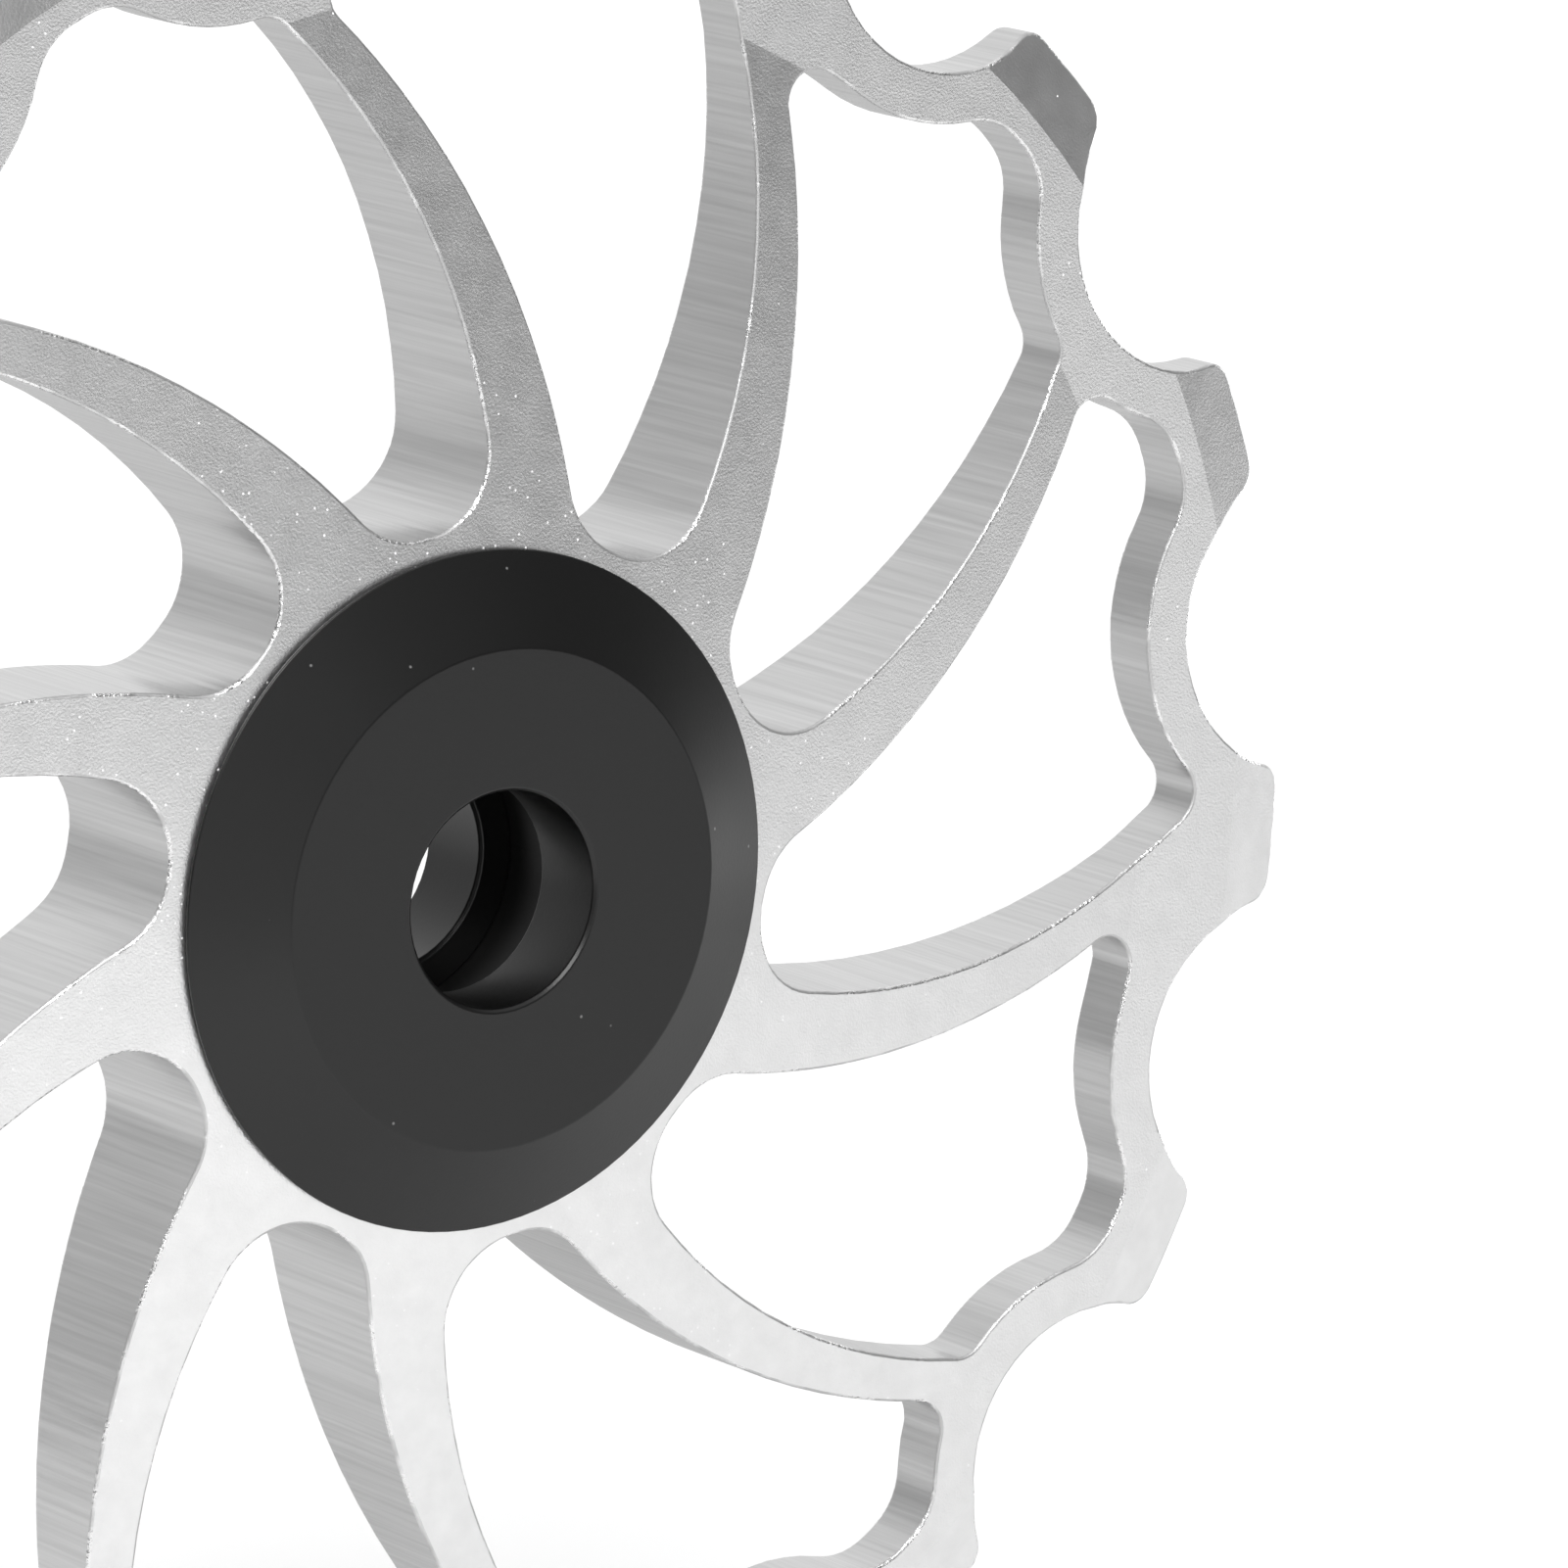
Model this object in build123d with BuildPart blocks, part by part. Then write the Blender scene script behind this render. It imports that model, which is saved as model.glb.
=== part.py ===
"""Derailleur jockey wheel: a fifteen-tooth aluminium pulley on a sealed ceramic ball bearing.

Millimetres. The axle runs along Y through the origin, the front cover faces -Y and +Z is up.
"""

import os
from math import cos, pi, sin

from build123d import *

os.makedirs("parts", exist_ok=True)

# Chain and teeth
chain_pitch = 12.7
tooth_count = 15
seat_radius = 4.4  # looser than the chain's rollers, so the chain drops in and runs quietly
tip_radius = 29.75
tip_corner_radius = 0.8
tip_thickness = 1.25
tooth_bevel_length = 2.0  # the teeth thin towards their tips on the front, and their backs are flat
wheel_angle = 6.4  # where the first chain seat lies above +X

# Wheel body
hub_width = 5.15
hub_face_radius = 9.2  # outside this, just under the covers' edges, the wheel thins in a cone
rim_thickness = 1.8
rim_flat_radius = 24.35  # outside this the rim is flat
seat_chamfer = 0.2

# Windows and spokes; the angles are counted from the first chain seat
spoke_count = 10
window_hub_radius = 9.95
rim_wall = 1.45
tooth_pocket_reach = 0.45  # share of a tooth's height, rim wall included, that the windows take up
solid_root_angle = 9.9  # how far past a seat the rim stays solid where a spoke runs into a tooth
spoke_lead_radius = 23.1  # arc of the edge that bows outwards
spoke_lead_hub_angle = -9.4
spoke_lead_tip_angle = 30.85
spoke_trail_radius = 18.45  # arc of the edge that bows inwards
spoke_trail_hub_angle = 6.65
spoke_trail_tip_angle = 34.35
window_hub_fillet = 2.3
window_rim_fillet = 0.95
window_tooth_fillet = 2.06
tooth_fillet_share = 0.92  # of the fillet that would fill a tooth pocket, the most that one may measure
touching = 0.001  # what lies nearer than this touches

# Ball bearing
bearing_bore = 8.0
bearing_diameter = 16.0
bearing_width = 5.0
ball_diameter = 2.0
ball_count = 10
race_clearance = 0.03
land_depth = 0.2  # how far the races rise past the balls' inner and outer edges
ring_chamfer = 0.2

# Ball cage
cage_clearance = 0.2
pocket_clearance = 0.06
cage_back = 1.45
cage_front = 0.65

# Seals
seal_thickness = 0.5
seal_depth = 0.1  # how far the seals lie under the bearing's faces
seal_groove = 0.55
seal_snap = 0.1
seal_gap = 0.1

# Covers
axle_diameter = 6.0
overall_width = 8.0
cover_radius = 9.4
cover_face_radius = 6.9
cover_edge = 0.1
cover_gap = 0.1  # between a cover and the turning hub
boss_radius = 4.9  # foot that stands on the bearing's inner ring
spigot_length = 1.1
spigot_clearance = 0.01
bore_chamfer = 0.1

# Sizes that follow
pitch_radius = chain_pitch / 2 / sin(pi / tooth_count)
tooth_angle = 360 / tooth_count
spoke_angle = 360 / spoke_count
rim_inner_radius = pitch_radius - seat_radius - rim_wall
window_tooth_radius = rim_inner_radius + tooth_pocket_reach * (tip_radius - rim_inner_radius)
seat_wall_radius = seat_radius + rim_wall
tooth_pocket_depth = window_tooth_radius - rim_inner_radius
seat_line = pitch_radius * cos(pi / tooth_count)  # how far out the line between two seats' centres lies
middle_gap = (window_tooth_radius - seat_line) ** 2 + (chain_pitch / 2) ** 2 - seat_wall_radius**2
meeting_fillet = middle_gap / 2 / (window_tooth_radius + seat_wall_radius - seat_line)  # meets mid-pocket
tooth_fillet = min(window_tooth_fillet, tooth_fillet_share * min(tooth_pocket_depth, meeting_fillet))
ball_circle_radius = (bearing_bore + bearing_diameter) / 4
inner_land_radius = ball_circle_radius - ball_diameter / 2 + land_depth
outer_land_radius = ball_circle_radius + ball_diameter / 2 - land_depth
race_radius = ball_diameter / 2 + race_clearance
seal_outer_radius = outer_land_radius + seal_groove
seal_face = bearing_width / 2 - seal_depth
seal_back = seal_face - seal_thickness
cover_back = hub_width / 2 + cover_gap


def polar_point(radius, angle):
    """A sketch point at an angle counted from the first chain seat."""
    return Vector(radius, 0).rotate(Axis.Z, angle)


# Wheel outlines, as seen from the front
with BuildSketch(Plane.XZ) as toothed_outline:
    Circle(tip_radius)
    with PolarLocations(pitch_radius, tooth_count, start_angle=wheel_angle):
        Circle(seat_radius, mode=Mode.SUBTRACT)
    fillet(toothed_outline.vertices(), tip_corner_radius)

with BuildSketch(Plane.XZ) as spokes:
    with BuildLine():
        lead_hub = polar_point(window_hub_radius, spoke_lead_hub_angle)
        lead_tip = polar_point(pitch_radius, spoke_lead_tip_angle)
        trail_hub = polar_point(window_hub_radius, spoke_trail_hub_angle)
        trail_tip = polar_point(pitch_radius, spoke_trail_tip_angle)
        RadiusArc(lead_hub, lead_tip, -spoke_lead_radius)
        Line(lead_tip, trail_tip)
        RadiusArc(trail_tip, trail_hub, spoke_trail_radius)
        Line(trail_hub, lead_hub)
    one_spoke = make_face(mode=Mode.PRIVATE)
    with PolarLocations(0, spoke_count, start_angle=wheel_angle):
        add(one_spoke)

# Every second spoke runs into a tooth: the rim stays solid between it and the seat before it, and past it
# the window ends in a point where the spoke meets the next seat's wall
with BuildSketch(Plane.XZ) as solid_roots:
    with BuildLine():
        root_start = polar_point(rim_inner_radius, -tooth_angle)
        root_end = polar_point(rim_inner_radius, solid_root_angle - tooth_angle)
        root_tip = polar_point(pitch_radius, spoke_lead_tip_angle - spoke_angle)
        RadiusArc(root_start, root_end, -rim_inner_radius)
        Polyline(root_end, root_tip, polar_point(pitch_radius, -tooth_angle), root_start)
    one_root = make_face(mode=Mode.PRIVATE)
    with PolarLocations(0, spoke_count // 2, start_angle=wheel_angle):
        add(one_root)

with BuildSketch(Plane.XZ) as window_points:
    with BuildLine():
        next_seat = polar_point(pitch_radius, 0)
        Polyline(root_end, root_tip, next_seat, polar_point(rim_inner_radius, 0), close=True)
    one_point = make_face(mode=Mode.PRIVATE)
    with PolarLocations(0, spoke_count // 2, start_angle=wheel_angle):
        add(one_point)

with BuildSketch(Plane.XZ) as windows:
    Circle(window_tooth_radius)
    add(window_points.sketch_local)
    with PolarLocations(pitch_radius, tooth_count, start_angle=wheel_angle):
        Circle(seat_wall_radius, mode=Mode.SUBTRACT)
    add(spokes.sketch_local, mode=Mode.SUBTRACT)
    add(solid_roots.sketch_local, mode=Mode.SUBTRACT)
    Circle(window_hub_radius, mode=Mode.SUBTRACT)
    hub_corner_count = 2 * spoke_count
    off_spokes = windows.vertices().filter_by(lambda v: v.distance_to(spokes.sketch_local) > touching)
    fillet(off_spokes.filter_by(lambda v: Vector(v).length > window_tooth_radius - touching), tooth_fillet)
    on_spokes = windows.vertices().filter_by(lambda v: v.distance_to(spokes.sketch_local) < touching)
    fillet(on_spokes.sort_by_distance((0, 0))[hub_corner_count:], window_rim_fillet)
    fillet(windows.vertices().sort_by_distance((0, 0))[:hub_corner_count], window_hub_fillet)

# Wheel: a turned section, trimmed to the toothed outline, then milled through at the windows
with BuildPart() as wheel:
    with BuildSketch(Plane.XY) as wheel_section:
        with BuildLine():
            Polyline(
                (bearing_diameter / 2, -(hub_width / 2 - seat_chamfer)),
                (bearing_diameter / 2 + seat_chamfer, -hub_width / 2),
                (hub_face_radius, -hub_width / 2),
                (rim_flat_radius, -rim_thickness / 2),
                (tip_radius - tooth_bevel_length, -rim_thickness / 2),
                (tip_radius, rim_thickness / 2 - tip_thickness),
                (tip_radius, rim_thickness / 2),
                (rim_flat_radius, rim_thickness / 2),
                (hub_face_radius, hub_width / 2),
                (bearing_diameter / 2 + seat_chamfer, hub_width / 2),
                (bearing_diameter / 2, hub_width / 2 - seat_chamfer),
                close=True,
            )
        make_face()
    revolve(axis=Axis.Y)
    extrude(toothed_outline.sketch, amount=hub_width / 2, both=True, mode=Mode.INTERSECT)
    extrude(windows.sketch, amount=hub_width / 2, both=True, mode=Mode.SUBTRACT)
wheel.part.label = "wheel"
export_step(wheel.part, "parts/wheel.step")

# Bearing rings: turned sections with a race for the balls and, outside, a snap groove for each seal
with BuildPart() as bearing_outer_ring:
    with BuildSketch(Plane.XY) as outer_section:
        with BuildLine():
            Polyline(
                (outer_land_radius, 0),
                (outer_land_radius, seal_back),
                (seal_outer_radius, seal_back),
                (seal_outer_radius, seal_face),
                (seal_outer_radius - seal_snap, seal_face),
                (seal_outer_radius - seal_snap, bearing_width / 2),
                (bearing_diameter / 2 - ring_chamfer, bearing_width / 2),
                (bearing_diameter / 2, bearing_width / 2 - ring_chamfer),
                (bearing_diameter / 2, 0),
                close=True,
            )
        make_face()
        mirror(about=Plane.XZ)
        with Locations((ball_circle_radius, 0)):
            Circle(race_radius, mode=Mode.SUBTRACT)
    revolve(axis=Axis.Y)
bearing_outer_ring.part.label = "bearing_outer_ring"
export_step(bearing_outer_ring.part, "parts/bearing_outer_ring.step")

with BuildPart() as bearing_inner_ring:
    with BuildSketch(Plane.XY) as inner_section:
        with BuildLine():
            Polyline(
                (bearing_bore / 2, 0),
                (bearing_bore / 2, bearing_width / 2 - ring_chamfer),
                (bearing_bore / 2 + ring_chamfer, bearing_width / 2),
                (inner_land_radius, bearing_width / 2),
                (inner_land_radius, 0),
                close=True,
            )
        make_face()
        mirror(about=Plane.XZ)
        with Locations((ball_circle_radius, 0)):
            Circle(race_radius, mode=Mode.SUBTRACT)
    revolve(axis=Axis.Y)
bearing_inner_ring.part.label = "bearing_inner_ring"
export_step(bearing_inner_ring.part, "parts/bearing_inner_ring.step")

# Balls
for number in range(1, ball_count + 1):
    with BuildPart(Plane.XZ) as ball:
        with PolarLocations(ball_circle_radius, 1, start_angle=number * 360 / ball_count):
            Sphere(ball_diameter / 2)
    ball.part.label = f"ball_{number:02d}"
    export_step(ball.part, f"parts/ball_{number:02d}.step")

# Crown cage: the balls snap into its pockets from the front, which close past their widest point
with BuildPart(Plane.XZ) as ball_cage:
    with BuildSketch(Plane.XY) as cage_section:
        with BuildLine():
            Polyline(
                (inner_land_radius + cage_clearance, -cage_front),
                (outer_land_radius - cage_clearance, -cage_front),
                (outer_land_radius - cage_clearance, cage_back),
                (inner_land_radius + cage_clearance, cage_back),
                close=True,
            )
        make_face()
    revolve(axis=Axis.Y)
    with PolarLocations(ball_circle_radius, ball_count):
        pocket_radius = ball_diameter / 2 + pocket_clearance
        Cylinder(pocket_radius, ball_diameter, rotation=(0, 90, 0), mode=Mode.SUBTRACT)
ball_cage.part.label = "ball_cage"
export_step(ball_cage.part, "parts/ball_cage.step")

# Seals: rubber discs snapped into the outer ring, their lips just clear of the inner ring
with BuildPart() as front_seal:
    with BuildSketch(Plane.XZ.offset(seal_back)) as seal_ring:
        Circle(seal_outer_radius)
        Circle(inner_land_radius + seal_gap, mode=Mode.SUBTRACT)
    extrude(amount=seal_thickness)
front_seal.part.label = "front_seal"
export_step(front_seal.part, "parts/front_seal.step")

with BuildPart() as rear_seal:
    mirror(front_seal.part, about=Plane.XZ)
rear_seal.part.label = "rear_seal"
export_step(rear_seal.part, "parts/rear_seal.step")

# Covers: a spigot in the inner ring, a foot on its face and a bevelled flange over the hub
with BuildPart() as front_cover:
    with BuildSketch(Plane.XY) as cover_section:
        with BuildLine():
            Polyline(
                (axle_diameter / 2, -(bearing_width / 2 - spigot_length) - bore_chamfer),
                (axle_diameter / 2 + bore_chamfer, -(bearing_width / 2 - spigot_length)),
                (bearing_bore / 2 - spigot_clearance, -(bearing_width / 2 - spigot_length)),
                (bearing_bore / 2 - spigot_clearance, -bearing_width / 2),
                (boss_radius, -bearing_width / 2),
                (boss_radius, -cover_back),
                (cover_radius, -cover_back),
                (cover_radius, -cover_back - cover_edge),
                (cover_face_radius, -overall_width / 2),
                (axle_diameter / 2 + bore_chamfer, -overall_width / 2),
                (axle_diameter / 2, -overall_width / 2 + bore_chamfer),
                close=True,
            )
        make_face()
    revolve(axis=Axis.Y)
front_cover.part.label = "front_cover"
export_step(front_cover.part, "parts/front_cover.step")

with BuildPart() as rear_cover:
    mirror(front_cover.part, about=Plane.XZ)
rear_cover.part.label = "rear_cover"
export_step(rear_cover.part, "parts/rear_cover.step")
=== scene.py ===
# %% [markdown]
# # A derailleur jockey wheel
#
# A jockey wheel guides a bicycle chain through the rear derailleur. This one is turned and milled
# from one piece of aluminium, with fifteen teeth and ten curved spokes, and it turns on a sealed
# ball bearing between two black dust covers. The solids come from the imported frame, in metres, with
# the axle along Y, the front towards -Y and Z up. This script gives them their edges, finishes,
# light and camera.

# %% Load the frame
import math

import bmesh
import bpy
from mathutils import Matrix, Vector, noise


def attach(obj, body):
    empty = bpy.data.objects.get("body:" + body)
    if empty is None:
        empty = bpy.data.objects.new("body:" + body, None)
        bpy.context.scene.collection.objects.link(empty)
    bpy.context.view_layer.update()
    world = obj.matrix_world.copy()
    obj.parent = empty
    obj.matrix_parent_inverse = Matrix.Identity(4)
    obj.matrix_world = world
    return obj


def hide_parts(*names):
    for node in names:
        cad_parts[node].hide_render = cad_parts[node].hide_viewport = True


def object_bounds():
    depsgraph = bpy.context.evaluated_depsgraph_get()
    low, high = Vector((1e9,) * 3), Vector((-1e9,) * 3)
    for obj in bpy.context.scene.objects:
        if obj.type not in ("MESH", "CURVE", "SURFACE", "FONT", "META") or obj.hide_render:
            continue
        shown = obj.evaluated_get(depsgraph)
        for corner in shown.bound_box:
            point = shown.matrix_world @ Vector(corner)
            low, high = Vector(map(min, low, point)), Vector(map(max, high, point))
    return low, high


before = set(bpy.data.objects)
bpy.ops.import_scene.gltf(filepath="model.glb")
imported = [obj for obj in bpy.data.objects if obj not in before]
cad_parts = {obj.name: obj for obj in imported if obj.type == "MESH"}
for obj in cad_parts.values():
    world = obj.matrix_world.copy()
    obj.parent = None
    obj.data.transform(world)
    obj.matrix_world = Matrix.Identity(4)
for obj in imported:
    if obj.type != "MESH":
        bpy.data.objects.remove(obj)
cad_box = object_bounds()
bpy.context.scene.view_settings.view_transform = "Standard"

MM = 0.001


def box_in_mm(box):
    """The two corners of a box in millimetres, rounded for printing."""
    return [[round(v / MM, 2) for v in corner] for corner in box]


print("solids loaded:", len(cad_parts), "box in mm:", box_in_mm(cad_box))

# %% [markdown]
# ## Camera
#
# The wheel was photographed close up with a long lens, from its front left and a little above, so
# that its right half fills the picture. The camera's place and lens were worked out from the
# wheel's own outline: the chain's pitch is known, so the distance and the lens follow from how much
# smaller the far teeth look. Two angles place the camera around the axle, and two more say from
# where it looks along its own axis, which passes a little beside the wheel's centre.

# %% Camera
CAMERA_DISTANCE = 296.4 * MM
CAMERA_AZIMUTH = math.radians(-34.52)
CAMERA_ELEVATION = math.radians(13.397)
AIM_AZIMUTH = math.radians(-36.489)
AIM_ELEVATION = math.radians(12.936)
FOCAL_LENGTH = 249.95
SENSOR_WIDTH = 36.0
NEAREST_SIGHT = 10 * MM


def compass(azimuth, elevation):
    """A unit vector: azimuth 0 points to -Y, the wheel's front, and turns towards +X."""
    level = math.cos(elevation)
    return Vector((math.sin(azimuth) * level, -math.cos(azimuth) * level, math.sin(elevation)))


camera_data = bpy.data.cameras.new("camera")
camera_data.sensor_width = SENSOR_WIDTH
camera_data.lens = FOCAL_LENGTH
camera_data.clip_start = NEAREST_SIGHT
camera = bpy.data.objects.new("camera", camera_data)
bpy.context.scene.collection.objects.link(camera)
camera.location = compass(CAMERA_AZIMUTH, CAMERA_ELEVATION) * CAMERA_DISTANCE
aim = -compass(AIM_AZIMUTH, AIM_ELEVATION)
camera.rotation_euler = aim.to_track_quat("-Z", "Y").to_euler()
bpy.context.scene.camera = camera
print("camera at mm:", [round(v / MM, 1) for v in camera.location], "lens:", FOCAL_LENGTH)

# %% [markdown]
# ## Helpers for colours and nodes
#
# Colours are written as sRGB hex values, as a colour picker shows them, and shaders want linear
# numbers, so one function turns the first into the second. Another adds a node, sets it and links
# it in one line, which keeps each material short enough to read. Sizes and depths of patterns are
# written in millimetres.

# %% Helpers
def linear(hex_colour):
    """An sRGB hex value as the linear colour that a shader takes."""
    shares = [int(hex_colour[i:i + 2], 16) / 255 for i in (1, 3, 5)]
    return [s / 12.92 if s <= 0.04045 else ((s + 0.055) / 1.055) ** 2.4 for s in shares] + [1.0]


def add_node(tree, kind, inputs=None, **settings):
    """Adds a node and sets it. An input takes a value, a socket, or a node for its first output."""
    node = tree.nodes.new(kind)
    for name, value in settings.items():
        setattr(node, name, value)
    for name, value in (inputs or {}).items():
        if isinstance(value, bpy.types.Node):
            value = value.outputs[0]
        if isinstance(value, bpy.types.NodeSocket):
            tree.links.new(value, node.inputs[name])
        else:
            node.inputs[name].default_value = value
    return node


def blank_material(name):
    """A material with no nodes yet."""
    material = bpy.data.materials.new(name)
    material.use_nodes = True
    material.node_tree.nodes.clear()
    return material


def pattern_scale(size):
    """The texture scale at which one feature of a pattern is this many millimetres wide."""
    return 1 / (size * MM)


print("half grey, linear:", round(linear("#808080")[0], 3))
print("scale of a 1 mm pattern:", pattern_scale(1))

# %% [markdown]
# ## The white sheet
#
# The wheel stands over a plain white sheet, which is all that the picture shows around it, and one
# flat face is enough for that. Metal shows what lies around it, so the size of the sheet matters as
# much as the lamps: the camera looks down a little, and the wheel's flat faces mirror the sheet in
# front of them low down and look over its front edge higher up, where the room is dim. That gives
# them their slow change from pale to grey, and it sets how far the sheet reaches forwards.

# %% The white sheet
SHEET_FRONT = 125 * MM
SHEET_LEFT = 450 * MM
SHEET_RIGHT = 320 * MM
SHEET_DEPTH = 3000 * MM
FLOOR_GAP = 0.05 * MM

towards_camera = compass(CAMERA_AZIMUTH, 0)
rightwards = Vector((0, 0, 1)).cross(towards_camera)
front_middle = towards_camera * SHEET_FRONT + Vector((0, 0, cad_box[0][2] - FLOOR_GAP))
front_left = front_middle - rightwards * SHEET_LEFT
front_right = front_middle + rightwards * SHEET_RIGHT
backwards = towards_camera * -SHEET_DEPTH
corners = [front_left, front_right, front_right + backwards, front_left + backwards]

floor_mesh = bpy.data.meshes.new("white_sheet")
floor_mesh.from_pydata(corners, [], [(0, 1, 2, 3)])
floor = bpy.data.objects.new("white_sheet", floor_mesh)
bpy.context.scene.collection.objects.link(floor)
print("sheet lies at z mm:", round(front_middle.z / MM, 2))

# %% [markdown]
# ## Matt white paper
#
# Paper scatters light evenly and mirrors nothing, so a diffuse shader gives it, and the wheel's
# soft shadow falls on it as on any surface. A little light of its own lifts it to white for the
# camera, more so far from the lamps. Reflections see a painted pool of light in its place: a pale
# glowing stripe that crosses the sheet slantwise in front of the wheel and fades out on both sides,
# so the faces that mirror it look brighter.

# %% Matt white paper
NEAR_LIFT, FAR_LIFT = 0.35, 0.55
NEAR, FAR = 100 * MM, 500 * MM
# Painted light: the stripe glows for reflections only, as a painted pool of light on the sheet.
PAINTED_STRIPE_LIGHT = 0.25
ACROSS_STRIPE = compass(math.radians(135), 0)
STRIPE_FADES_IN = -110 * MM, -65 * MM
STRIPE_FADES_OUT = -40 * MM, 30 * MM


def reflection_ray(tree, path):
    """A node that gives 1 for rays sent on by glossy or clear surfaces, and 0 for all others."""
    return add_node(tree, "ShaderNodeMath",
                    {0: path.outputs["Is Glossy Ray"], 1: path.outputs["Is Transmission Ray"]},
                    operation="MAXIMUM")


paper = blank_material("matt_white_paper")
tree = paper.node_tree
path = add_node(tree, "ShaderNodeLightPath")
place = add_node(tree, "ShaderNodeNewGeometry").outputs["Position"]
across = add_node(tree, "ShaderNodeVectorMath", {0: place, 1: ACROSS_STRIPE}, operation="DOT_PRODUCT")
fade_in = add_node(tree, "ShaderNodeMapRange",
                   {"Value": across.outputs["Value"], "From Min": STRIPE_FADES_IN[0],
                    "From Max": STRIPE_FADES_IN[1], "To Min": 0.0, "To Max": PAINTED_STRIPE_LIGHT})
fade_out = add_node(tree, "ShaderNodeMapRange",
                    {"Value": across.outputs["Value"], "From Min": STRIPE_FADES_OUT[0],
                     "From Max": STRIPE_FADES_OUT[1], "To Min": PAINTED_STRIPE_LIGHT, "To Max": 0.0})
# The painted pool of light, seen only by reflections.
painted_light_stripe = add_node(tree, "ShaderNodeMath", {0: fade_out, 1: fade_in}, operation="MINIMUM")
painted_mirrored_light = add_node(tree, "ShaderNodeMath", {0: reflection_ray(tree, path), 1: painted_light_stripe},
                         operation="MULTIPLY")
from_wheel = add_node(tree, "ShaderNodeVectorMath", {0: place}, operation="LENGTH")
seen_lift = add_node(tree, "ShaderNodeMapRange",
                     {"Value": from_wheel.outputs["Value"], "From Min": NEAR, "From Max": FAR,
                      "To Min": NEAR_LIFT, "To Max": FAR_LIFT})
lift = add_node(tree, "ShaderNodeMath",
                {0: path.outputs["Is Camera Ray"], 1: seen_lift, 2: painted_mirrored_light},
                operation="MULTIPLY_ADD")
matt = add_node(tree, "ShaderNodeBsdfDiffuse", {"Color": linear("#cccccc")})
glow = add_node(tree, "ShaderNodeEmission", {"Color": linear("#ffffff"), "Strength": lift})
both = add_node(tree, "ShaderNodeAddShader", {0: matt, 1: glow})
add_node(tree, "ShaderNodeOutputMaterial", {"Surface": both})
floor_mesh.materials.append(paper)
print("made", paper.name, "with", len(tree.nodes), "nodes")

# %% [markdown]
# ## The room
#
# The room around the sheet is made by the world. For the camera it is white, so that the picture
# has no horizon. For diffuse light it is an even soft grey. Reflections see a white backdrop behind
# the wheel that fades to a dim room on the camera's side, and a pale ceiling overhead. How far a
# direction points to the dim side, or up, decides what it sees: 1 is straight there, 0 is at right
# angles to it and -1 is straight away.

# %% The room
SEEN_LIGHT = 1.0
ROOM_LIGHT = 0.85
BACKDROP_LIGHT = 1.0
DIM_ROOM_LIGHT = 0.14
CEILING_LIGHT = 0.75
DIM_SIDE = compass(math.radians(-20), 0)
BACKDROP_ENDS, DIM_ROOM_STARTS = -0.8, -0.25
CEILING_STARTS, CEILING_FULL = 0.4, 0.8

world = bpy.data.worlds.new("studio")
bpy.context.scene.world = world
world.use_nodes = True
tree = world.node_tree
tree.nodes.clear()
path = add_node(tree, "ShaderNodeLightPath")
direction = add_node(tree, "ShaderNodeTexCoord").outputs["Generated"]
facing = add_node(tree, "ShaderNodeVectorMath", {0: direction, 1: DIM_SIDE}, operation="DOT_PRODUCT")
backdrop = add_node(tree, "ShaderNodeMapRange",
                    {"Value": facing.outputs["Value"], "From Min": BACKDROP_ENDS,
                     "From Max": DIM_ROOM_STARTS, "To Min": BACKDROP_LIGHT, "To Max": DIM_ROOM_LIGHT},
                    interpolation_type="SMOOTHSTEP")
height = add_node(tree, "ShaderNodeSeparateXYZ", {"Vector": direction})
ceiling = add_node(tree, "ShaderNodeMapRange",
                   {"Value": height.outputs["Z"], "From Min": CEILING_STARTS, "From Max": CEILING_FULL,
                    "To Max": CEILING_LIGHT}, interpolation_type="SMOOTHSTEP")
reflected = add_node(tree, "ShaderNodeMath", {0: backdrop, 1: ceiling}, operation="MAXIMUM")
unseen = add_node(tree, "ShaderNodeMix",
                  {"Factor": reflection_ray(tree, path), "A": ROOM_LIGHT, "B": reflected})
strength = add_node(tree, "ShaderNodeMix",
                    {"Factor": path.outputs["Is Camera Ray"], "A": unseen, "B": SEEN_LIGHT})
sky = add_node(tree, "ShaderNodeBackground", {"Color": linear("#ffffff"), "Strength": strength})
add_node(tree, "ShaderNodeOutputWorld", {"Surface": sky})
print("room, backdrop and dim side:", ROOM_LIGHT, BACKDROP_LIGHT, DIM_ROOM_LIGHT)

# %% [markdown]
# ## Lamps
#
# Five soft boxes finish the light. One hangs high over the back of the sheet and gives the wheel a
# soft shadow, and it is hidden from reflections, which keeps it out of the metal. A wide, weak one
# behind the camera fills the faces that lean to the left, and a narrow one to the right of the camera
# lightens the flat faces high up on the left. A strong one hangs above the camera, where only the
# broken edges of the spokes and covers can mirror it, so it draws the thin bright lines along them. A
# small one stands close to the wheel on its right, and only the right side of the front cover's
# bevel mirrors it.

# %% Lamps
def soft_box(name, azimuth, elevation, distance, width, height, power):
    """A flat lamp aimed at the wheel's centre and kept out of the camera's sight, in degrees and mm."""
    data = bpy.data.lights.new(name, "AREA")
    data.shape = "RECTANGLE"
    data.size = width * MM
    data.size_y = height * MM
    data.energy = power
    lamp = bpy.data.objects.new(name, data)
    bpy.context.scene.collection.objects.link(lamp)
    towards_lamp = compass(math.radians(azimuth), math.radians(elevation))
    lamp.location = towards_lamp * (distance * MM)
    lamp.rotation_euler = (-towards_lamp).to_track_quat("-Z", "Y").to_euler()
    lamp.visible_camera = False
    return lamp


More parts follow.
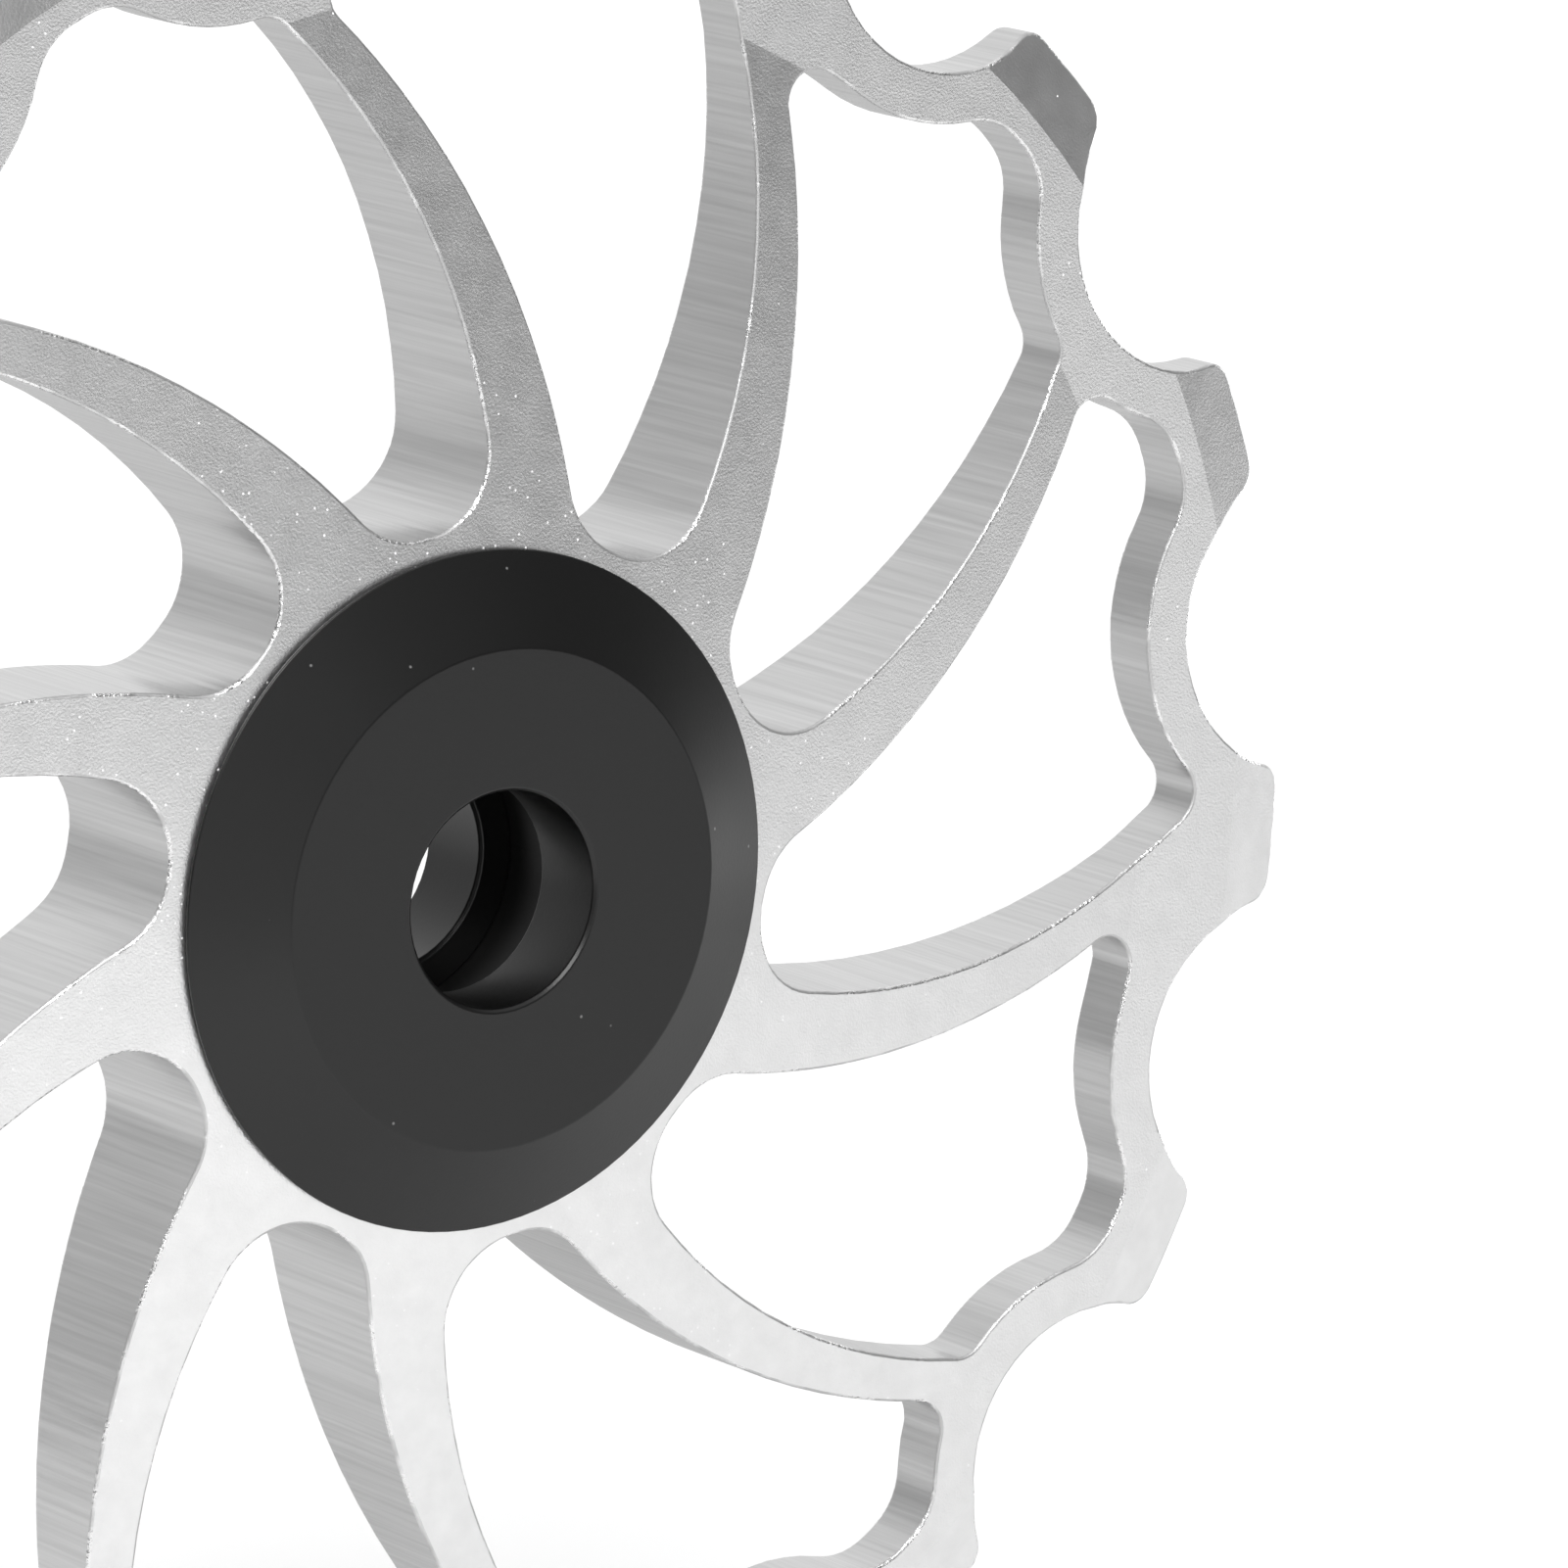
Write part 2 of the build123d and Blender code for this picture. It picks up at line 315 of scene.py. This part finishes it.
overhead_box = soft_box("overhead_box", azimuth=160, elevation=65, distance=700, width=500, height=500,
                        power=0.8)
overhead_box.visible_glossy = False
soft_box("fill_box", azimuth=-30, elevation=0, distance=600, width=440, height=480, power=0.47)
soft_box("strip_box", azimuth=16, elevation=-2, distance=600, width=120, height=260, power=0.06)
soft_box("edge_box", azimuth=-32, elevation=46, distance=330, width=200, height=160, power=0.7)
soft_box("side_box", azimuth=99, elevation=-1, distance=115, width=44, height=54, power=0.014)

# %% [markdown]
# ## Blasting dust
#
# The wheel's two faces were turned and then blasted with fine grit before the windows were milled.
# White grains of blasting dust cling to them in small clusters, most of them around the hub. A
# Voronoi pattern gives each grain a cell, and the grain is drawn round the cell's own point.
# Whether a cell holds a grain is decided by its random colour times a slow noise, against a limit
# that rises away from the hub.

# %% Blasting dust
DUST_SPACING = 0.2
DUST_CLUSTER = 4.0
GRAIN_RIM, GRAIN_CORE = 0.21, 0.11  # in shares of the spacing
DUSTY_RADIUS, CLEAN_RADIUS = 10 * MM, 20 * MM
DUSTY_LIMIT, CLEAN_LIMIT = 0.42, 0.58

blasted_aluminium = blank_material("blasted_aluminium")
tree = blasted_aluminium.node_tree
place = add_node(tree, "ShaderNodeTexCoord").outputs["Object"]
cells = add_node(tree, "ShaderNodeTexVoronoi", {"Vector": place, "Scale": pattern_scale(DUST_SPACING)})
grain = add_node(tree, "ShaderNodeMapRange",
                 {"Value": cells.outputs["Distance"], "From Min": GRAIN_RIM, "From Max": GRAIN_CORE})
cell_colour = add_node(tree, "ShaderNodeSeparateColor", {"Color": cells.outputs["Color"]})
clusters = add_node(tree, "ShaderNodeTexNoise", {"Vector": place, "Scale": pattern_scale(DUST_CLUSTER)})
chance = add_node(tree, "ShaderNodeMath", {0: cell_colour.outputs["Red"], 1: clusters},
                  operation="MULTIPLY")
from_hub = add_node(tree, "ShaderNodeVectorMath", {0: place}, operation="LENGTH")
limit = add_node(tree, "ShaderNodeMapRange",
                 {"Value": from_hub.outputs["Value"], "From Min": DUSTY_RADIUS,
                  "From Max": CLEAN_RADIUS, "To Min": DUSTY_LIMIT, "To Max": CLEAN_LIMIT})
holds_grain = add_node(tree, "ShaderNodeMath", {0: chance, 1: limit}, operation="GREATER_THAN")
dust = add_node(tree, "ShaderNodeMath", {0: grain, 1: holds_grain}, operation="MULTIPLY")
print("dust grains across, mm:", round(2 * GRAIN_RIM * DUST_SPACING, 3))

# %% [markdown]
# ## Blasted aluminium
#
# Blasting leaves an even satin with a faint mottle, so the eye sees slow changes of tone and no
# sharp reflections. Bare aluminium reflects about nine tenths of the light, hardly coloured. A fine
# noise tilts the surface as the grit did, and a broad one changes tone and gloss a little. The
# marks of the grit are a few hundredths of a millimetre and would vanish at this distance, so they
# are drawn about twice as coarse. Dust isn't metal, so the metallic share goes down where a grain
# lies.

# %% Blasted aluminium
GRIT = 0.07
GRIT_DEPTH = 0.009
MOTTLE = 0.9
LEAST_ROUGHNESS, MOST_ROUGHNESS = 0.31, 0.39

mottle = add_node(tree, "ShaderNodeTexNoise",
                  {"Vector": place, "Scale": pattern_scale(MOTTLE), "Detail": 3.0})
grit = add_node(tree, "ShaderNodeTexNoise",
                {"Vector": place, "Scale": pattern_scale(GRIT), "Detail": 2.0})
grit_bump = add_node(tree, "ShaderNodeBump", {"Height": grit, "Distance": GRIT_DEPTH * MM})
tone = add_node(tree, "ShaderNodeMix",
                {"Factor": mottle, "A": linear("#e9e9e9"), "B": linear("#fdfdfd")}, data_type="RGBA")
dusty_tone = add_node(tree, "ShaderNodeMix",
                      {"Factor": dust, "A": tone.outputs["Result"], "B": linear("#fbfbfb")},
                      data_type="RGBA")
bare = add_node(tree, "ShaderNodeMath", {0: 1.0, 1: dust}, operation="SUBTRACT")
rough = add_node(tree, "ShaderNodeMapRange",
                 {"Value": mottle, "To Min": LEAST_ROUGHNESS, "To Max": MOST_ROUGHNESS})
metal = add_node(tree, "ShaderNodeBsdfPrincipled",
                 {"Base Color": dusty_tone.outputs["Result"], "Metallic": bare, "Roughness": rough,
                  "Normal": grit_bump})
add_node(tree, "ShaderNodeOutputMaterial", {"Surface": metal})
print("made", blasted_aluminium.name, "with", len(tree.nodes), "nodes")

# %% [markdown]
# ## Milled walls
#
# The walls of the windows and of the chain seats were cut by the side of an end mill. Its flutes
# leave fine lines along the axle, and its chatter leaves broader bands that tilt the wall a little
# and so mirror another part of the room: the eye sees a streaky sheen. Noise that is short across
# the wall and long along the axle gives both. The walls' tone is darker than the faces': partly the
# duller milled finish, and partly painted shade.

# %% Milled walls
CHATTER_BAND = 0.9
CHATTER_DEPTH = 0.05
FLUTE_LINE = 0.14
FLUTE_DEPTH = 0.005
LINE_LENGTH = 9.0
MILLED_ROUGHNESS = 0.3

milled_aluminium_with_painted_shade = blank_material("milled_aluminium_with_painted_shade")
tree = milled_aluminium_with_painted_shade.node_tree
place = add_node(tree, "ShaderNodeTexCoord").outputs["Object"]
marks = []
for width in (CHATTER_BAND, FLUTE_LINE):
    scale = pattern_scale(width), pattern_scale(LINE_LENGTH), pattern_scale(width)
    stretched = add_node(tree, "ShaderNodeMapping", {"Vector": place, "Scale": scale})
    marks.append(add_node(tree, "ShaderNodeTexNoise",
                          {"Vector": stretched, "Scale": 1.0, "Detail": 2.0}))
bands, lines = marks
band_bump = add_node(tree, "ShaderNodeBump", {"Height": bands, "Distance": CHATTER_DEPTH * MM})
line_bump = add_node(tree, "ShaderNodeBump",
                     {"Height": lines, "Distance": FLUTE_DEPTH * MM, "Normal": band_bump})
# Partly painted shade: this tone greys the walls beyond what the light on them gives.
tone = add_node(tree, "ShaderNodeMix",
                {"Factor": lines, "A": linear("#b8b8b8"), "B": linear("#e0e0e0")}, data_type="RGBA")
metal = add_node(tree, "ShaderNodeBsdfPrincipled",
                 {"Base Color": tone.outputs["Result"], "Metallic": 1.0, "Roughness": MILLED_ROUGHNESS,
                  "Normal": line_bump})
add_node(tree, "ShaderNodeOutputMaterial", {"Surface": metal})
print("made", milled_aluminium_with_painted_shade.name, "with", len(tree.nodes), "nodes")

# %% [markdown]
# ## Burred edges
#
# Milling through the blasted face leaves a small uneven burr along every edge, torn in some
# stretches and clean in others. Torn metal is lumpy and glossy, and clean stretches are duller. The
# tone is painted too: lighter in torn stretches, as painted glints, and darker in clean ones, as
# painted shade. Where the edge faces the lamp above the camera, it shines as a pale line with white
# glints, and elsewhere it looks like a thin dark one, partly from that painted shade. A slow noise
# chooses the stretches and a fine one makes the lumps.

# %% Burred edges
BURR = 0.12
BURR_DEPTH = 0.06
BURR_STRETCH = 1.4
CLEAN_BELOW, TORN_ABOVE = 0.43, 0.57
LEAST_BURR = 0.1
CLEAN_ROUGHNESS, TORN_ROUGHNESS = 0.56, 0.26

edge_aluminium_with_painted_light = blank_material("burred_edge_with_painted_light")
tree = edge_aluminium_with_painted_light.node_tree
place = add_node(tree, "ShaderNodeTexCoord").outputs["Object"]
stretches = add_node(tree, "ShaderNodeTexNoise",
                     {"Vector": place, "Scale": pattern_scale(BURR_STRETCH)})
torn_and_painted_light = add_node(tree, "ShaderNodeMapRange",
                {"Value": stretches, "From Min": CLEAN_BELOW, "From Max": TORN_ABOVE,
                 "To Min": LEAST_BURR})
lumps = add_node(tree, "ShaderNodeTexNoise",
                 {"Vector": place, "Scale": pattern_scale(BURR), "Detail": 2.0})
torn_lumps = add_node(tree, "ShaderNodeMath", {0: lumps, 1: torn_and_painted_light}, operation="MULTIPLY")
lump_bump = add_node(tree, "ShaderNodeBump", {"Height": torn_lumps, "Distance": BURR_DEPTH * MM})
rough = add_node(tree, "ShaderNodeMapRange",
                 {"Value": torn_and_painted_light, "To Min": CLEAN_ROUGHNESS, "To Max": TORN_ROUGHNESS})
# Painted light: the lighter tone of torn stretches is a painted glint and the darker tone of clean ones
# is painted shade.
tone = add_node(tree, "ShaderNodeMix",
                {"Factor": torn_and_painted_light, "A": linear("#cccccc"), "B": linear("#f6f6f6")}, data_type="RGBA")
metal = add_node(tree, "ShaderNodeBsdfPrincipled",
                 {"Base Color": tone.outputs["Result"], "Metallic": 1.0, "Roughness": rough,
                  "Normal": lump_bump})
add_node(tree, "ShaderNodeOutputMaterial", {"Surface": metal})
print("made", edge_aluminium_with_painted_light.name, "with", len(tree.nodes), "nodes")

# %% [markdown]
# ## Breaking the edges
#
# The solids have perfectly sharp edges, and real ones never are. A copy of each solid that shows
# gets its sharp edges cut back by a tenth of a millimetre or less. The copy is first joined at its
# seams, because a mesh from solids has a separate corner for every face. The small new faces are
# kept apart from the others, so that they can take a finish of their own, and noise makes them a
# little uneven. Blender starts this noise from the clock unless it is given a seed, so it gets one,
# and every run makes the same edges.

# %% Breaking the edges
SEAM = 0.0005 * MM
SHARP_ANGLE = math.radians(25)
EDGE_SEGMENTS = 3
ROUND_PROFILE = 0.5
UNEVENNESS_SIZE = 0.2
BURR_SEED = 1

noise.seed_set(BURR_SEED)


def edge_broken_copy(node, name, width, unevenness=0.0):
    """Copies a solid with its sharp edges cut back, in mm. Also gives the new faces' indices."""
    shape = bmesh.new()
    shape.from_mesh(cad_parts[node].data)
    bmesh.ops.remove_doubles(shape, verts=shape.verts, dist=SEAM)
    sharp = [e for e in shape.edges if len(e.link_faces) == 2 and e.calc_face_angle() > SHARP_ANGLE]
    made = bmesh.ops.bevel(shape, geom=sharp, offset=width * MM, offset_type="OFFSET",
                           segments=EDGE_SEGMENTS, profile=ROUND_PROFILE, affect="EDGES",
                           clamp_overlap=False, loop_slide=False)
    new_faces = set(made["faces"])
    for vert in {v for f in new_faces for v in f.verts}:
        if new_faces.issuperset(vert.link_faces):
            vert.co += noise.noise_vector(vert.co * pattern_scale(UNEVENNESS_SIZE)) * unevenness * MM
    shape.faces.index_update()
    edge_faces = {f.index for f in new_faces}
    mesh = bpy.data.meshes.new(name)
    shape.to_mesh(mesh)
    shape.free()
    piece = bpy.data.objects.new(name, mesh)
    bpy.context.scene.collection.objects.link(piece)
    print(name, "faces:", len(mesh.polygons), "sharp edges cut:", len(sharp))
    return piece, edge_faces


print("edges count as sharp above", round(math.degrees(SHARP_ANGLE)), "degrees")

# %% [markdown]
# ## Shading
#
# Curved walls come as strips of flat faces, and smooth shading hides the joints between them. It
# must stop where one surface really ends, or the light would run round the corner. So an edge stays
# a crease where the finish changes, and where the surface turns by more than its finish allows.

# %% Shading
def mark_creases(piece, largest_turns):
    """Shades a piece smooth between creases. The turns are degrees, by the number of the finish."""
    shape = bmesh.new()
    shape.from_mesh(piece.data)
    for face in shape.faces:
        face.smooth = True
    for edge in shape.edges:
        finishes = [face.material_index for face in edge.link_faces]
        one_finish = len(finishes) == 2 and finishes[0] == finishes[1]
        edge.smooth = one_finish and edge.calc_face_angle() < math.radians(largest_turns[finishes[0]])
    print(piece.name, "creases:", sum(not edge.smooth for edge in shape.edges))
    shape.to_mesh(piece.data)
    shape.free()


# %% [markdown]
# ## The wheel
#
# The wheel takes three finishes: blasted on the faces that look along the axle, milled on the walls
# that look across it, and burred on the cut edges between them. A face's normal tells which way it
# looks, so no list of faces is needed. The bevels of the teeth lean only a little and count as
# faces.

# %% The wheel
EDGE_WIDTH = 0.085
EDGE_UNEVENNESS = 0.012
FACE_FINISH, WALL_FINISH, EDGE_FINISH = range(3)
LARGEST_TURNS = {FACE_FINISH: 3, WALL_FINISH: 40, EDGE_FINISH: 80}
LOOKS_ALONG_AXLE = 0.7  # the least share of the normal that points along Y

wheel, wheel_edges = edge_broken_copy("wheel", "jockey_wheel", EDGE_WIDTH, EDGE_UNEVENNESS)
for finish in (blasted_aluminium, milled_aluminium_with_painted_shade, edge_aluminium_with_painted_light):
    wheel.data.materials.append(finish)
for face in wheel.data.polygons:
    if face.index in wheel_edges:
        face.material_index = EDGE_FINISH
    elif abs(face.normal.y) > LOOKS_ALONG_AXLE:
        face.material_index = FACE_FINISH
    else:
        face.material_index = WALL_FINISH
mark_creases(wheel, LARGEST_TURNS)
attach(wheel, "wheel")
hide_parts("wheel")
print("edge faces on the wheel:", len(wheel_edges))

# %% [markdown]
# ## Black anodised aluminium
#
# The covers are turned aluminium, anodised black: a thin dyed oxide layer that is hard, satin and a
# little glassy, so it behaves like a dark dielectric and not like bare metal. The eye sees a deep
# grey that lightens where it mirrors the sheet or a lamp. The etch under the layer is too fine to
# show and is drawn coarser. A few specks of dust lie on it, made as on the wheel.

# %% Black anodised aluminium
ETCH = 0.1
ETCH_DEPTH = 0.002
COVER_DUST_SPACING = 0.9
SPECK_RIM, SPECK_CORE = 0.06, 0.03  # in shares of the spacing
COVER_DUST_LIMIT = 0.75
OXIDE_ROUGHNESS = 0.32
OXIDE_IOR = 1.5

anodised_black = blank_material("black_anodised_aluminium")
tree = anodised_black.node_tree
place = add_node(tree, "ShaderNodeTexCoord").outputs["Object"]
etch = add_node(tree, "ShaderNodeTexNoise",
                {"Vector": place, "Scale": pattern_scale(ETCH), "Detail": 2.0})
etch_bump = add_node(tree, "ShaderNodeBump", {"Height": etch, "Distance": ETCH_DEPTH * MM})
cells = add_node(tree, "ShaderNodeTexVoronoi",
                 {"Vector": place, "Scale": pattern_scale(COVER_DUST_SPACING)})
speck = add_node(tree, "ShaderNodeMapRange",
                 {"Value": cells.outputs["Distance"], "From Min": SPECK_RIM, "From Max": SPECK_CORE})
cell_colour = add_node(tree, "ShaderNodeSeparateColor", {"Color": cells.outputs["Color"]})
holds_speck = add_node(tree, "ShaderNodeMath", {0: cell_colour.outputs["Red"], 1: COVER_DUST_LIMIT},
                       operation="GREATER_THAN")
dust = add_node(tree, "ShaderNodeMath", {0: speck, 1: holds_speck}, operation="MULTIPLY")
tone = add_node(tree, "ShaderNodeMix",
                {"Factor": dust, "A": linear("#0b0b0b"), "B": linear("#6e6e6e")}, data_type="RGBA")
oxide = add_node(tree, "ShaderNodeBsdfPrincipled",
                 {"Base Color": tone.outputs["Result"], "Metallic": 0.0, "Roughness": OXIDE_ROUGHNESS,
                  "IOR": OXIDE_IOR, "Normal": etch_bump})
add_node(tree, "ShaderNodeOutputMaterial", {"Surface": oxide})
print("made", anodised_black.name, "with", len(tree.nodes), "nodes")

# %% [markdown]
# ## Dust covers
#
# Both covers get edges that are broken much less than the wheel's, because a lathe leaves them
# clean. The one finish goes on twice, once for the turned faces and once for their edges, so that
# the shading can tell them apart.

# %% Dust covers
COVER_EDGE_WIDTH = 0.03
TURNED_FINISH, TURNED_EDGE_FINISH = range(2)
LARGEST_COVER_TURNS = {TURNED_FINISH: 15, TURNED_EDGE_FINISH: 80}

for node in ("front_cover", "rear_cover"):
    cover, cover_edges = edge_broken_copy(node, node.replace("cover", "dust_cover"), COVER_EDGE_WIDTH)
    for finish in (anodised_black, anodised_black):
        cover.data.materials.append(finish)
    for face in cover.data.polygons:
        face.material_index = TURNED_EDGE_FINISH if face.index in cover_edges else TURNED_FINISH
    mark_creases(cover, LARGEST_COVER_TURNS)
    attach(cover, "hub")
    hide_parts(node)
    print(node, "edge faces:", len(cover_edges))

# %% [markdown]
# ## The bearing
#
# The bearing hides behind the covers, apart from the bore of its inner ring, which lies deep in
# shade and looks black. Its pieces keep their solids and take plain finishes, each with fine marks
# in its surface, drawn coarser than real ones: ground steel rings painted a dull near black, as
# painted shade for that dark bore, polished black ceramic balls that mirror sharply, a cage of cream
# moulded nylon and seals of matt rubber. None of them shows bare metal, so one function makes them all.

# %% The bearing
def plain_finish(name, colour, roughness, ior, mark_size, mark_depth):
    """A finish of one colour with fine marks of one size in its surface, in mm."""
    material = blank_material(name)
    tree = material.node_tree
    place = add_node(tree, "ShaderNodeTexCoord").outputs["Object"]
    marks = add_node(tree, "ShaderNodeTexNoise",
                     {"Vector": place, "Scale": pattern_scale(mark_size), "Detail": 3.0})
    bump = add_node(tree, "ShaderNodeBump", {"Height": marks, "Distance": mark_depth * MM})
    surface = add_node(tree, "ShaderNodeBsdfPrincipled",
                       {"Base Color": linear(colour), "Metallic": 0.0, "Roughness": roughness,
                        "IOR": ior, "Normal": bump})
    add_node(tree, "ShaderNodeOutputMaterial", {"Surface": surface})
    return material


# Painted shade: the rings' near-black colour keeps the inner ring's bore as dark as the shade deep
# inside it.
bearing_steel_painted_shade = plain_finish("bearing_steel_painted_black_as_shade", "#191919", roughness=0.45, ior=1.5,
                           mark_size=0.1, mark_depth=0.001)
black_ceramic = plain_finish("polished_black_ceramic", "#232326", roughness=0.08, ior=2.0,
                             mark_size=0.2, mark_depth=0.0002)
nylon = plain_finish("moulded_nylon", "#e6e1d4", roughness=0.45, ior=1.53,
                     mark_size=0.15, mark_depth=0.002)
rubber = plain_finish("moulded_nitrile_rubber", "#232323", roughness=0.6, ior=1.52,
                      mark_size=0.1, mark_depth=0.003)
finish_of = {"bearing_outer_ring": bearing_steel_painted_shade, "bearing_inner_ring": bearing_steel_painted_shade, "ball_cage": nylon,
             "front_seal": rubber, "rear_seal": rubber}
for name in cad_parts:
    if name.startswith("ball_") and name not in finish_of:
        finish_of[name] = black_ceramic
for name, finish in finish_of.items():
    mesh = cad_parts[name].data
    mesh.materials.clear()
    mesh.materials.append(finish)
print("bearing pieces finished:", len(finish_of))
